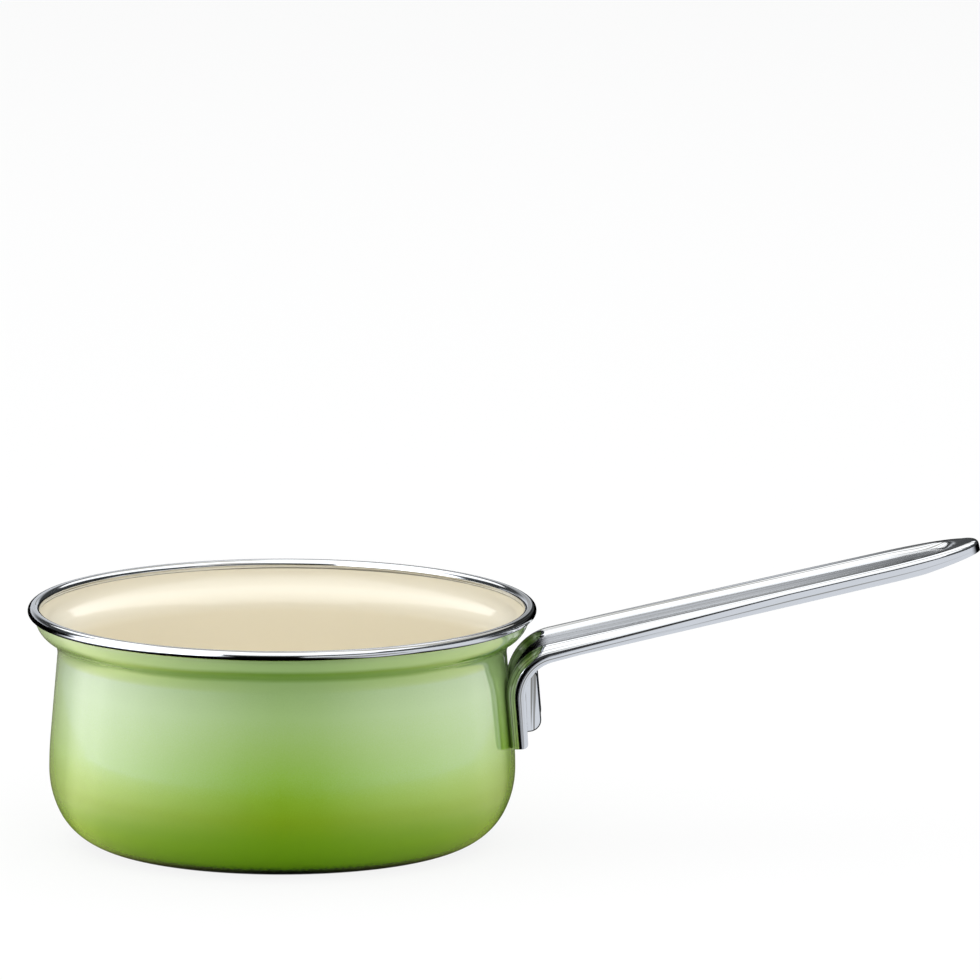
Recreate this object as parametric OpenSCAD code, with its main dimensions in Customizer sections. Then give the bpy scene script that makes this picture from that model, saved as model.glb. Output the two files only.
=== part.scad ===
// Enamelled steel saucepan with a pressed channel handle.
// Origin: centre of the flat base. +Z is up and the handle runs towards +X.

/* [Pan] */
// Diameter over the rim band
rim_d = 167; // [164:0.5:171]
// Height of the rim's top above the table
pan_h = 79; // [77:0.5:84]
// Distance in from the rim's outside to the belly's widest place
belly_in = 7; // [5.6:0.1:8]
// Height of the widest place
belly_z = 25; // [23:0.5:28]
// Radius of the belly's curve, in section
belly_round = 30; // [28:0.5:36]
// Radius of the curve between base and belly
corner_round = 21; // [18:0.5:23]
// Radius of the long curve above the belly, as a share of the height up to the neck
shoulder_share = 3.38; // [2.6:0.02:4.1]
// Distance in from the rim's outside to the narrow neck under the lip
neck_in = 9.8; // [9.2:0.1:10.8]
// Distance from the rim's top down to the neck
neck_drop = 15.5; // [15:0.5:18]
// Radius of the hollow at the neck, in section
neck_round = 6; // [4:0.1:7]

/* [Wall] */
// Thickness of the pressed steel
steel_t = 1; // [0.7:0.05:1.2]
// Thickness of one coat of enamel
coat_t = 0.25; // [0.15:0.01:0.35]
// Height of the dark coat that covers the base
base_coat_h = 2.8; // [1.5:0.1:4.5]

/* [Rim] */
// Width of the rim band's section
band_w = 4.2; // [3.9:0.1:4.8]
// Height of the rim band's section
band_h = 3.4; // [3.2:0.1:3.8]
// Thickness of the rim band's sheet
band_t = 0.4; // [0.3:0.05:0.5]
// Clearance where the band is pressed on the wall
band_fit = 0.02; // [0.01:0.01:0.05]

/* [Handle] */
// Height of the handle's lower end, as a share of the way from the belly up to the neck
foot_share = 0.234; // [0.14:0.002:0.3]
// Length of the straight leg that lies along the wall, as a share of the same way
leg_share = 0.41; // [0.34:0.01:0.46]
// Radius of the bend, measured on the beads' crests
bend_r = 18; // [15:0.5:22]
// Angle of the grip above level
grip_angle = 13; // [5:0.5:20]
// Length of the grip, from the bend to the tip
grip_len = 144.3; // [120:1:180]
// Width of the handle on the pan's wall
root_w = 37.6; // [33:0.2:40]
// Width of the handle where the rounded tip starts
tip_w = 32.2; // [28:0.2:36]
// Length of the rounded tip
tip_len = 34; // [24:0.5:42]
// Distance from the bend to where the taper starts
taper_start = 18.5; // [5:0.5:30]
// Thickness of the handle's sheet
sheet_t = 1; // [0.7:0.05:1.2]
// Depth of the grip, from the crests to the free edge
channel_h = 5.2; // [4.8:0.1:7]
// Depth of the leg at the lower end
foot_h = 5.9; // [5.8:0.1:7]
// Depth where the leg meets the bend
root_h = 6.4; // [5.8:0.1:7.5]
// Length past the bend where the depth has fallen to that of the grip
root_fade = 10; // [5:0.5:20]
// Radius of the side walls' corners at the lower end
foot_round = 1.6; // [0.5:0.1:2.4]
// Depth of the handle at the tip
tip_h = 3.9; // [3.4:0.1:4.6]
// Length along which the depth falls to that of the tip
tip_h_len = 19; // [10:0.5:30]
// Width of the edge beads, from the outline to the groove
bead_w = 4.5; // [4.3:0.1:5.5]
// Outer radius of the edge beads on the leg
bead_root_round = 4; // [3:0.1:4.1]
// Outer radius of the edge beads on the grip
bead_round = 1.7; // [1.4:0.05:2.4]
// Length of the grip along which the beads' radius falls from one to the other
bead_fade = 80; // [30:5:100]
// Width of the groove's floor on the pan's wall
groove_root_w = 22.4; // [21.8:0.2:24]
// Width of the groove's floor where its rounded end starts
groove_end_w = 15.6; // [12:0.2:17]
// Distance from the handle's tip to the end of the groove's floor
groove_stop = 11; // [8:0.5:20]
// Length of the groove's rounded end
groove_nose = 12; // [6:0.5:18]
// Length of the slope past the end of the groove's floor
groove_ramp = 3.6; // [2:0.1:5]
// Clearance between the handle and the pan's wall
seat_fit = 0.05; // [0.02:0.01:0.1]

/* [Bracket] */
// Width of the bracket over its flanges
bracket_w = 19; // [16:0.5:25]
// Thickness of the bracket
bracket_t = 1.5; // [1:0.1:2]
// Distance from the handle's lower end to the bracket's lower edge
bracket_start = 3.8; // [2:0.1:4]
// Length of the bracket's flanges
bracket_len = 20.4; // [17:0.1:24]
// Reach of the flanges from the beads' crests
bracket_reach = 10.8; // [10:0.1:13]
// Radius of the flanges' lower corners
bracket_low_round = 4; // [2:0.1:5]
// Radius of the flanges' upper corners
bracket_top_round = 2.2; // [1:0.1:4]
// Clearance between the bracket and the handle's channel
bracket_fit = 0.05; // [0.02:0.01:0.1]

/* [Studs] */
// Diameter of the weld studs
stud_d = 3.2; // [2.6:0.1:3.4]
// Places of the studs, as shares of the leg's length from the handle's lower end
stud_shares = [0.41, 0.79]; // [0.4:0.01:0.8]
// Diameter of a stud's head
head_d = 4.6; // [4:0.1:5]
// Height of a stud's head
head_h = 1.3; // [1:0.1:2]
// Clearance round a stud in its holes
stud_fit = 0.05; // [0.02:0.01:0.1]

/* [Hidden] */
$fn = 96;
arc_steps = 10;
long_arc_steps = 14;
overrun = 1;

// The pan's wall, as one chain of arcs in section
wall_t = steel_t + 2 * coat_t;
rim_r = rim_d / 2;
belly_r = rim_r - belly_in;
neck_r = rim_r - neck_in;
rim_z = pan_h - band_h / 2;
band_r = rim_r - band_w / 2;
roll_r = min(band_w, band_h) / 2 - band_t - coat_t / 2;
lip_r = rim_r - band_w + band_t + wall_t + band_fit;
lip_z = rim_z - roll_r;
neck_z = pan_h - neck_drop;
shoulder_h = neck_z - belly_z;
shoulder_round = shoulder_share * shoulder_h;
flare = 2 * atan((lip_r - neck_r) / (lip_z - neck_z));
lip_round = (lip_z - neck_z) / sin(flare) - neck_round;
corner_turn = asin((belly_z - corner_round) / (belly_round - corner_round));
corner_c = [belly_r - belly_round + (belly_round - corner_round) * cos(corner_turn),
            corner_round];
belly_c = [belly_r - belly_round, belly_z];
shoulder_c = [belly_r - shoulder_round, belly_z];
neck_c = [neck_r + neck_round, neck_z];
lip_c = [lip_r - lip_round, lip_z];
shoulder_to_neck = neck_c - shoulder_c;
lean = atan2(shoulder_to_neck[1], shoulder_to_neck[0])
     - acos((shoulder_round + neck_round) / norm(shoulder_to_neck));

// Outward normal of the wall where it leans out by an angle from upright
function outward(lean_out) = [cos(lean_out), -sin(lean_out)];

// One stretch of the section; a hollow stretch has a negative radius
function bow(centre, radius, from, to, steps) =
    [for (i = [0:steps]) centre + radius * outward(from + (to - from) * i / steps)];

// The wall's section at a depth below its outer face, from the axis to the rim
function wall_line(depth) = concat(
    [[0, depth]],
    bow(corner_c, corner_round - depth, 90, corner_turn, arc_steps),
    bow(belly_c, belly_round - depth, corner_turn, 0, arc_steps),
    bow(shoulder_c, shoulder_round - depth, 0, -lean, arc_steps),
    bow(neck_c, -neck_round - depth, -lean, flare, long_arc_steps),
    bow(lip_c, lip_round - depth, flare, 0, long_arc_steps));

function backwards(line) = [for (i = [len(line) - 1:-1:0]) line[i]];

// A layer of the wall in section, with both faces carried up to a height
module layer_section(outer_depth, inner_depth, top_z) {
    outer_line = wall_line(outer_depth);
    inner_line = wall_line(inner_depth);
    polygon(concat(
        outer_line,
        [[lip_r - outer_depth, top_z], [lip_r - inner_depth, top_z]],
        backwards(inner_line)));
}

module cut_below(height) {
    translate([-overrun, -overrun])
        square([rim_r + 2 * overrun, height + overrun]);
}

// The handle's seat on the wall: the groove is as deep as the wall is round
crest_y = root_w / 2 - bead_w;
groove_h = belly_r - sqrt(belly_r * belly_r - crest_y * crest_y);
foot_z = belly_z + foot_share * shoulder_h;
leg_len = leg_share * shoulder_h;
wall_foot = shoulder_c + shoulder_round * outward(-lean);
crest_foot = wall_foot - (groove_h - seat_fit) * outward(-lean);
foot_slide = (foot_z - crest_foot[1]) / cos(lean);
foot = crest_foot + foot_slide * [-sin(lean), cos(lean)];
wall_w = groove_h - seat_fit;
web_w = groove_h + sheet_t;

// The handle's frame: X away from the wall, Z up along the leg
module on_leg() {
    translate([foot[0], 0, foot[1]])
        rotate([0, -lean, 0])
            children();
}

// The handle's path: a leg, a bend and a grip, measured along the crests
bend_turn = 90 + lean - grip_angle;
bend_len = bend_r * bend_turn * PI / 180;
bend_c = [bend_r, leg_len];
grip_start = leg_len + bend_len;
round_start = grip_len - tip_len;
nose_start = grip_len - groove_stop - groove_nose;

function turn_at(p) = 180 / PI * min(max(p - leg_len, 0), bend_len) / bend_r;
function crest_at(p) =
    p < leg_len ? [0, p]
    : bend_c + bend_r * [-cos(turn_at(p)), sin(turn_at(p))]
      + max(p - grip_start, 0) * [sin(turn_at(p)), cos(turn_at(p))];

// A point at a distance along the path, across it and above its crests
function on_path(p, y, rise) =
    let (flat = crest_at(p) + rise * [-cos(turn_at(p)), sin(turn_at(p))])
    [flat[0], y, flat[1]];

function mix(from, to, share) = from + (to - from) * min(max(share, 0), 1);
function half_width(s) =
    mix(root_w, tip_w, (s - taper_start) / (round_start - taper_start)) / 2;
function floor_half(s) =
    mix(groove_root_w, groove_end_w, (s - taper_start) / (nose_start - taper_start)) / 2;
function foot_lift(p) = foot_round - sqrt(foot_round * foot_round
    - pow(max(foot_round - p, 0), 2));
function depth_at(s) =
    let (p = s + grip_start)
    let (fall = (p - leg_len) / (bend_len + root_fade))
    p < leg_len ? mix(foot_h, root_h, p / leg_len) - foot_lift(p)
    : s < root_fade ? mix(root_h, channel_h, fall)
    : mix(channel_h, tip_h, (s - grip_len + tip_h_len) / tip_h_len);

// The beads' outer radius falls along the grip
function bead_at(s) = mix(bead_root_round, bead_round, s / bead_fade);

// Distance in from the outline, which narrows to a half ellipse at the tip
function from_edge(s, y, inset) =
    let (half = half_width(s) - inset)
    let (reach = tip_len - inset)
    let (past = max(s - round_start, 0))
    let (share = norm([past / reach, y / half]))
    share < 0.01 ? half
    : (1 - share) * share / norm([past / reach / reach, y / half / half]);

function edge_fall(inside, radius) =
    inside >= radius ? 0
    : sqrt(radius * radius - pow(radius - max(inside, 0), 2)) - radius;

// The groove's depth at a place: a flat floor, a smooth slope and a round nose
function groove_at(s, y) =
    let (past = max(s - nose_start, 0))
    let (floor_w = floor_half(s))
    let (brim_w = half_width(s) - bead_w)
    let (over_floor = norm([past / groove_nose, y / floor_w]) - 1)
    let (in_brim = 1 - norm([past / (groove_nose + groove_ramp), y / brim_w]))
    over_floor <= 0 ? groove_h
    : in_brim <= 0 ? 0
    : groove_h * (1 + cos(180 * over_floor / (over_floor + in_brim))) / 2;

// Where the section's points lie across the handle, from the edge to the middle
bead_angles = [0, 22.5, 45, 67.5, 90];
slope_shares = [0, 0.2, 0.4, 0.6, 0.8, 1];
floor_shares = [0.66, 0.33, 0];
half_count = 1 + len(bead_angles) + len(slope_shares) + len(floor_shares);
ring_count = 2 * half_count - 1;

function across(s, inset) =
    let (half = half_width(s))
    let (brim = half - bead_w)
    let (bead = bead_at(s))
    let (floor_w = floor_half(s))
    concat(
        [half - inset],
        [for (a = bead_angles) half - bead + (bead - inset) * cos(a)],
        [for (q = slope_shares) brim + (floor_w - brim) * q],
        [for (q = floor_shares) floor_w * q]);

// One ring of points, on the outer face or, with an inset, on the inner face
function ring(p, narrowing, inset) =
    let (s = p - grip_start)
    let (places = across(s, inset))
    [for (j = [0:ring_count - 1])
        let (k = j < half_count ? j : ring_count - 1 - j)
        let (side = j < half_count ? -1 : 1)
        let (y = side * places[k] * narrowing)
        let (top = edge_fall(from_edge(s, y, inset), bead_at(s) - inset)
                   - groove_at(s, y) - inset)
        on_path(p, y, k == 0 ? -depth_at(s) : top)];

foot_angles = [0, 30, 60];
leg_steps = 2;
bend_steps = 12;
grip_steps = 12;
tip_steps = 18;
plain_places = concat(
    [for (a = foot_angles) foot_round * (1 - cos(a))],
    [for (i = [0:leg_steps - 1]) foot_round + (leg_len - foot_round) * i / leg_steps],
    [for (i = [0:bend_steps - 1]) leg_len + bend_len * i / bend_steps],
    [for (i = [0:grip_steps - 1]) grip_start + round_start * i / grip_steps]);
tip_angles = [for (i = [0:tip_steps]) 90 * i / tip_steps];
ring_total = len(plain_places) + len(tip_angles);

function face_points(inset) = concat(
    [for (p = plain_places) each ring(p, 1, inset)],
    [for (a = tip_angles)
        each ring(grip_start + round_start + (tip_len - inset) * sin(a), cos(a), inset)]);

// The last ring has no width, so its two sides share their points
function spot(i, j) =
    i < ring_total - 1 ? i * ring_count + j
    : i * ring_count + (j == 0 || j == ring_count - 1 ? 0 : 1);

function quad(a, b, c, d) = [for (t = [[a, b, c], [a, c, d]])
    if (t[0] != t[1] && t[1] != t[2] && t[2] != t[0]) t];

function grid_faces(shift, flip) = [
    for (i = [0:ring_total - 2]) for (j = [0:ring_count - 2])
        let (q = [spot(i, j), spot(i, j + 1), spot(i + 1, j + 1), spot(i + 1, j)])
        let (r = [for (v = q) v + shift])
        each flip ? quad(r[3], r[2], r[1], r[0]) : quad(r[0], r[1], r[2], r[3])];

function edge_faces(shift) = concat(
    [for (i = [0:ring_total - 2])
        each quad(spot(i, 0), spot(i + 1, 0), spot(i + 1, 0) + shift, spot(i, 0) + shift)],
    [for (i = [0:ring_total - 2])
        let (j = ring_count - 1)
        each quad(spot(i + 1, j), spot(i, j), spot(i, j) + shift, spot(i + 1, j) + shift)],
    [for (j = [0:ring_count - 2])
        each quad(spot(0, j + 1), spot(0, j), spot(0, j) + shift, spot(0, j + 1) + shift)]);

module stud_places() {
    for (share = stud_shares)
        translate([0, 0, share * leg_len])
            rotate([0, 90, 0])
                children();
}

head_seat = web_w + bracket_fit + bracket_t;

module steel_body() {
    color("dimgray")
        rotate_extrude()
            union() {
                layer_section(coat_t, coat_t + steel_t, rim_z);
                translate([band_r, rim_z])
                    circle(r = roll_r);
            }
}

module outer_enamel() {
    color("yellowgreen")
        difference() {
            rotate_extrude()
                difference() {
                    layer_section(0, coat_t, lip_z);
                    cut_below(base_coat_h);
                }
            on_leg()
                stud_places()
                    cylinder(d = stud_d, h = wall_w + overrun);
        }
}

module inner_enamel() {
    color("cornsilk")
        rotate_extrude()
            layer_section(coat_t + steel_t, wall_t, lip_z);
}

module base_enamel() {
    color("black")
        rotate_extrude()
            intersection() {
                layer_section(0, coat_t, lip_z);
                cut_below(base_coat_h);
            }
}

// A section as high as it is told, with half round sides
module lozenge(width, height) {
    side = (width - height) / 2;
    square([2 * side, height], center = true);
    for (x = [-side, side])
        translate([x, 0])
            circle(d = height);
}

module rim_band() {
    color("silver")
        rotate_extrude()
            difference() {
                translate([band_r, rim_z])
                    lozenge(band_w, band_h);
                translate([band_r, rim_z])
                    lozenge(band_w - 2 * band_t, band_h - 2 * band_t);
                layer_section(-band_fit, wall_t + band_fit, rim_z);
            }
}

module handle() {
    shift = ring_total * ring_count;
    points = concat(face_points(0), face_points(sheet_t));
    faces = concat(grid_faces(0, false), grid_faces(shift, true), edge_faces(shift));
    color("gainsboro")
        on_leg()
            difference() {
                polyhedron(points = points, faces = faces);
                stud_places()
                    cylinder(d = stud_d + 2 * stud_fit, h = web_w + overrun);
            }
}

module handle_bracket() {
    half = bracket_w / 2;
    base_w = web_w + bracket_fit;
    bracket_end = bracket_start + bracket_len;
    color("lightgray")
        on_leg()
            difference() {
                intersection() {
                    rotate([90, 0, 0])
                        linear_extrude(2 * half, center = true)
                            bracket_side(base_w, bracket_end);
                    union() {
                        translate([base_w, -half, 0])
                            cube([bracket_t, 2 * half, leg_len]);
                        for (side = [-1, 1])
                            translate([0, side * (half - bracket_t / 2), 0])
                                translate([0, -bracket_t / 2, 0])
                                    cube([bracket_reach, bracket_t, bracket_end]);
                    }
                }
                stud_places()
                    cylinder(d = stud_d + 2 * stud_fit, h = head_seat + overrun);
            }
}

// The bracket seen from the side, inside the handle's bend
module bracket_side(base_w, bracket_end) {
    intersection() {
        union() {
            translate([base_w, bracket_start])
                square([bracket_reach - base_w, leg_len - bracket_start]);
            translate([bend_c[0], bend_c[1]])
                circle(r = bend_r - base_w);
        }
        hull() {
            translate([base_w, bracket_start])
                square([bracket_t, bracket_len]);
            translate([bracket_reach - bracket_low_round, bracket_start + bracket_low_round])
                circle(r = bracket_low_round);
            translate([bracket_reach - bracket_top_round, bracket_end - bracket_top_round])
                circle(r = bracket_top_round);
        }
    }
}

// A stud welded to the steel, its end spread into a low dome over the bracket
module mounting_studs() {
    dome_r = (head_d * head_d / 4 + head_h * head_h) / (2 * head_h);
    color("whitesmoke")
        difference() {
            on_leg()
                stud_places() {
                    cylinder(d = stud_d, h = head_seat);
                    intersection() {
                        translate([0, 0, head_seat])
                            cylinder(d = head_d, h = head_h);
                        translate([0, 0, head_seat + head_h - dome_r])
                            sphere(r = dome_r);
                    }
                }
            rotate_extrude()
                polygon(concat(wall_line(coat_t), [[lip_r, rim_z], [0, rim_z]]));
        }
}

steel_body();
outer_enamel();
inner_enamel();
base_enamel();
rim_band();
handle();
handle_bracket();
mounting_studs();
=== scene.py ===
from math import acos, asin, atan, atan2, cos, hypot, pi, radians, sin, sqrt

import bmesh
import bpy
import numpy as np
from bpy.props import FloatProperty, FloatVectorProperty, IntProperty, PointerProperty
from bpy.types import Operator, Panel, PropertyGroup
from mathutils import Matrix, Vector


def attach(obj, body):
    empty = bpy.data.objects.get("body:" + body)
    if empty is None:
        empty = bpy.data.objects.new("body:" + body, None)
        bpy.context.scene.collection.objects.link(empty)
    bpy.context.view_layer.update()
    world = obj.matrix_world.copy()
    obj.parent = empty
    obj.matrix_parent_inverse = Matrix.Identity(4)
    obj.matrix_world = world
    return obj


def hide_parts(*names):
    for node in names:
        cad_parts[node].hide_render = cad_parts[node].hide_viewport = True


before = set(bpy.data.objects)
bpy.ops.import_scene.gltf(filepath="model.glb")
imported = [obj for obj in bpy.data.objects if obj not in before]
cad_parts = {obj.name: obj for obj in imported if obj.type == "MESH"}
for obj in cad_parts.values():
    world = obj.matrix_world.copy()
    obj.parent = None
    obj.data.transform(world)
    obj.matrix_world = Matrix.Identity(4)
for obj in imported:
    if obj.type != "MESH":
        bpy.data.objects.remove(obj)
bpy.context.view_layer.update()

bl_info = {
    "name": "Enamelled saucepan",
    "version": (1, 0, 0),
    "blender": (4, 5, 0),
    "location": "3D View > Sidebar > Saucepan",
    "description": "Dresses the packed frame of an enamelled steel saucepan",
    "category": "Object",
}

BODY = "root"
WELD = 0.000002  # points nearer than this, in metres, are one

# Pieces that mirror the paper dish, and pieces that mirror the cards
COAT_PIECES = ("outer_coat", "base_coat")
STEEL_PIECES = ("rim_ring", "handle_shell", "bracket_channel", "mounting_stud_heads")

# The paper dish: its inner and outer radius, its wall's height and the heights of its floor
DISH_NEAR, DISH_FAR, DISH_HIGH = 0.060, 0.42, 0.13
DISH_FLOOR, CARD_FLOOR, CARD_INSET = 0.0005, 0.0007, 0.004
# Its light by degrees round from the front, left positive, as a part of the brightest
DISH_ROUND = (
    (-180, 0.01), (-150, 0.09), (-139, 0.30), (-117, 0.60), (-90, 0.64), (-54, 0.43), (-18, 0.08),
    (0, 0.03), (16, 0.11), (47, 0.44), (80, 0.85), (105, 1.0), (121, 0.82), (136, 0.37),
    (151, 0.17), (180, 0.01),
)
# Its light and tint by distance from the pan's axis
DISH_OUT = (
    (0.060, (0.0, 0.0, 0.0)), (0.078, (0.26, 0.29, 0.08)), (0.104, (0.54, 0.57, 0.28)),
    (0.160, (0.73, 0.75, 0.43)), (0.260, (0.88, 0.88, 0.63)), (0.385, (0.93, 0.93, 0.81)),
    (0.420, (1.0, 1.0, 1.0)),
)


# Sizes and colours


def length(name, default, description):
    return FloatProperty(
        name=name, description=description, default=default, min=0.0, precision=5, unit="LENGTH"
    )


def angle(name, default, description):
    return FloatProperty(
        name=name, description=description, default=radians(default), unit="ROTATION"
    )


def share(name, default, description):
    return FloatProperty(
        name=name, description=description, default=default, min=0.0, subtype="FACTOR"
    )


def radiance(name, default, description):
    return FloatProperty(name=name, description=description, default=default)


def count(name, default, description):
    return IntProperty(name=name, description=description, default=default, min=1)


def linear(red, green, blue):
    """A colour as a screen shows it, 0 to 255, turned into the linear one that a shader takes."""
    return tuple(
        v / 12.92 if v <= 0.04045 else ((v + 0.055) / 1.055) ** 2.4
        for v in (red / 255, green / 255, blue / 255)
    )


def tone(name, shown, description):
    colour = linear(*shown)
    return FloatVectorProperty(
        name=name, description=description, default=colour, min=0.0, max=1.0, subtype="COLOR"
    )


class PanSizes(PropertyGroup):
    """Sizes of the pan's wall and its rim band."""

    rim_d: length("Rim diameter", 0.167, "Diameter over the rim band")
    pan_h: length("Pan height", 0.079, "Height of the rim's top above the table")
    belly_in: length("Belly inset", 0.007, "Distance in from the rim's outside to the belly")
    belly_z: length("Belly height", 0.025, "Height of the widest place")
    belly_round: length("Belly curve", 0.030, "Radius of the belly's curve in section")
    corner_round: length("Corner curve", 0.021, "Radius between base and belly")
    shoulder_share: share("Shoulder curve", 3.38, "Radius above the belly over its height")
    neck_in: length("Neck inset", 0.0098, "Distance in from the rim's outside to the neck")
    neck_drop: length("Neck drop", 0.0155, "Distance from the rim's top down to the neck")
    neck_round: length("Neck curve", 0.006, "Radius of the hollow at the neck")
    steel_t: length("Steel", 0.001, "Thickness of the pressed steel")
    coat_t: length("Coat", 0.00025, "Thickness of one coat of enamel")
    base_coat_h: length("Base coat height", 0.0028, "Height of the dark coat on the base")
    band_w: length("Band width", 0.0042, "Width of the rim band's section")
    band_h: length("Band height", 0.0034, "Height of the rim band's section")
    band_t: length("Band sheet", 0.0004, "Thickness of the rim band's sheet")
    band_fit: length("Band clearance", 0.00002, "Clearance between band and wall")
    band_skin: length("Band skin", 0.00003, "What the shown band stays inside its solid")
    steps_round: count("Steps round", 240, "Steps round the pan")


class HandleSizes(PropertyGroup):
    """Sizes of the pressed channel handle."""

    foot_share: share("Foot height", 0.234, "Height of the lower end between belly and neck")
    leg_share: share("Leg length", 0.41, "Length of the leg over the same height")
    bend_r: length("Bend", 0.018, "Radius of the bend on the beads' crests")
    grip_angle: angle("Grip angle", 13, "Angle of the grip above level")
    grip_len: length("Grip length", 0.1443, "Length from the bend to the tip")
    root_w: length("Root width", 0.0376, "Width on the pan's wall")
    tip_w: length("Tip width", 0.0322, "Width where the rounded tip starts")
    tip_len: length("Tip length", 0.034, "Length of the rounded tip")
    taper_start: length("Taper start", 0.0185, "Distance from the bend to the taper")
    sheet_t: length("Sheet", 0.001, "Thickness of the sheet")
    channel_h: length("Channel depth", 0.0052, "Depth of the grip")
    foot_h: length("Foot depth", 0.0059, "Depth of the leg at its lower end")
    root_h: length("Root depth", 0.0064, "Depth where leg and bend meet")
    root_fade: length("Root fade", 0.010, "Length in which the depth falls past the bend")
    foot_round: length("Foot corner", 0.0016, "Radius of the side walls' lower corners")
    tip_h: length("Tip depth", 0.0039, "Depth at the tip")
    tip_h_len: length("Tip fade", 0.019, "Length in which the depth falls to the tip's")
    bead_w: length("Bead width", 0.0045, "Width of the edge beads, up to the groove")
    bead_root_round: length("Bead on the leg", 0.004, "Outer radius of the beads on the leg")
    bead_round: length("Bead", 0.0017, "Outer radius of the beads on the grip")
    bead_fade: length("Bead fade", 0.080, "Length of the grip in which that radius falls")
    groove_root_w: length("Groove at root", 0.0224, "Width of the groove's floor on the wall")
    groove_end_w: length("Groove at end", 0.0156, "Width of the floor at its rounded end")
    groove_stop: length("Groove stop", 0.011, "Distance from the tip to the groove's end")
    groove_nose: length("Groove nose", 0.012, "Length of the groove's rounded end")
    groove_ramp: length("Groove ramp", 0.0036, "Length of the slope past the floor")
    groove_sag: length("Groove sag", 0.00022, "How hollow the grip's groove is along its middle")
    sag_fade: length("Sag fade", 0.030, "Length past the bend in which the hollow starts")
    seat_fit: length("Seat clearance", 0.00005, "Clearance between handle and wall")
    edge_ease: length("Edge easing", 0.00040, "How far the cut edges are eased")
    skin: length("Skin", 0.00001, "What the shown top face stays inside its solid")


class BracketSizes(PropertyGroup):
    """Sizes of the bracket inside the handle's bend and of its weld studs."""

    bracket_w: length("Bracket width", 0.019, "Width over the flanges")
    bracket_t: length("Bracket sheet", 0.0015, "Thickness of the bracket")
    bracket_start: length("Bracket start", 0.0038, "Distance up from the handle's lower end")
    bracket_len: length("Bracket length", 0.0204, "Length of the flanges")
    bracket_reach: length("Bracket reach", 0.0108, "Reach of the flanges from the crests")
    low_round: length("Lower corner", 0.004, "Radius of the flanges' lower corners")
    top_round: length("Upper corner", 0.0022, "Radius of the flanges' upper corners")
    bracket_fit: length("Bracket clearance", 0.00005, "Clearance inside the channel")
    edge_round: length("Edge rounding", 0.0004, "Radius of the bracket's rumbled edges")
    stud_d: length("Stud", 0.0032, "Diameter of the weld studs")
    stud_low: share("Lower stud", 0.41, "Place of the lower stud on the leg")
    stud_high: share("Upper stud", 0.79, "Place of the upper stud on the leg")
    stud_count: count("Studs", 2, "Number of weld studs")
    head_d: length("Head", 0.0046, "Diameter of a stud's head")
    head_h: length("Head height", 0.0013, "Height of a stud's head")


class FinishTones(PropertyGroup):
    """Colours of the enamels and metals."""

    base_green: tone("Green at the base", (101, 147, 22), "Enamel where the base coat starts")
    low_green: tone("Low green", (105, 146, 21), "Enamel above the base")
    belly_green: tone("Belly green", (115, 149, 20), "Enamel at the belly")
    upper_belly_green: tone("Upper belly green", (121, 159, 31), "Enamel above the belly")
    middle_green: tone("Middle green", (130, 169, 60), "Enamel at mid height")
    upper_green: tone("Upper green", (141, 174, 89), "Enamel two thirds up")
    neck_green: tone("Green at the neck", (150, 179, 113), "Sprayed enamel at the neck")
    hollow_shade_green: tone("Green in the hollow", (94, 130, 42), "Thin spray under the lip")
    # Painted shade: a darker green for the band under the lip, where the hollow lies in shade
    rim_green: tone("Green at the rim", (140, 168, 107), "Sprayed enamel under the rim")
    cream: tone("Cream", (236, 229, 210), "Enamel inside the pan")
    base_dark: tone("Base", (28, 30, 31), "Dark enamel on the base")
    steel: tone("Polished steel", (219, 221, 224), "Rim band, handle and bracket")
    # Sheared edges: a dull steel, painted darker as the shade that the eased lower edges mirror
    shaded_cut_steel: tone("Cut edges", (42, 44, 46), "Sheared edges of handle and bracket")
    dull_steel: tone("Pressed steel", (150, 148, 146), "Steel under the enamel")
    floor: tone("Floor", (238, 238, 238), "Studio floor")


class StudioSettings(PropertyGroup):
    """The camera and the light of the studio."""

    view_rise: angle("View elevation", 10.54, "Height of the camera's view above level")
    view_distance: length("View distance", 10.0, "Distance of the camera")
    view_width: length("View width", 0.3212, "Width of the view at the pan")
    view_x: length("View centre X", 0.06819, "Place along the handle that the camera looks at")
    view_z: length("View centre Z", 0.1173, "Height that the camera looks at")
    paper: radiance("Paper", 4.6, "Radiance of the paper at its brightest")
    floor_card: radiance("Floor card", 3.2, "Radiance of the card under the steel")
    left_card: radiance("Left card", 3.2, "Radiance of the card at the left")
    right_card: radiance("Right card", 1.15, "Radiance of the card at the right")
    back_card: radiance("Back card", 0.8, "Radiance of the grey card behind")
    left: radiance("Left", 2.7, "Radiance of the left soft box")
    right: radiance("Right", 2.3, "Radiance of the right soft box")
    fill: radiance("Fill", 1.2, "Radiance of the low front box")
    top: radiance("Top", 1.5, "Radiance of the overhead box")
    high: radiance("High", 1.75, "Radiance of the high front box")
    shine: radiance("Shine", 1.45, "Radiance that steel sees overhead")
    front: radiance("Front", 1.1, "Radiance of the strip over the camera")
    wall: radiance("Walls", 0.06, "Radiance of the studio's walls")
    sky: radiance("Ceiling", 0.3, "Radiance of its ceiling")


# Nodes


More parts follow.
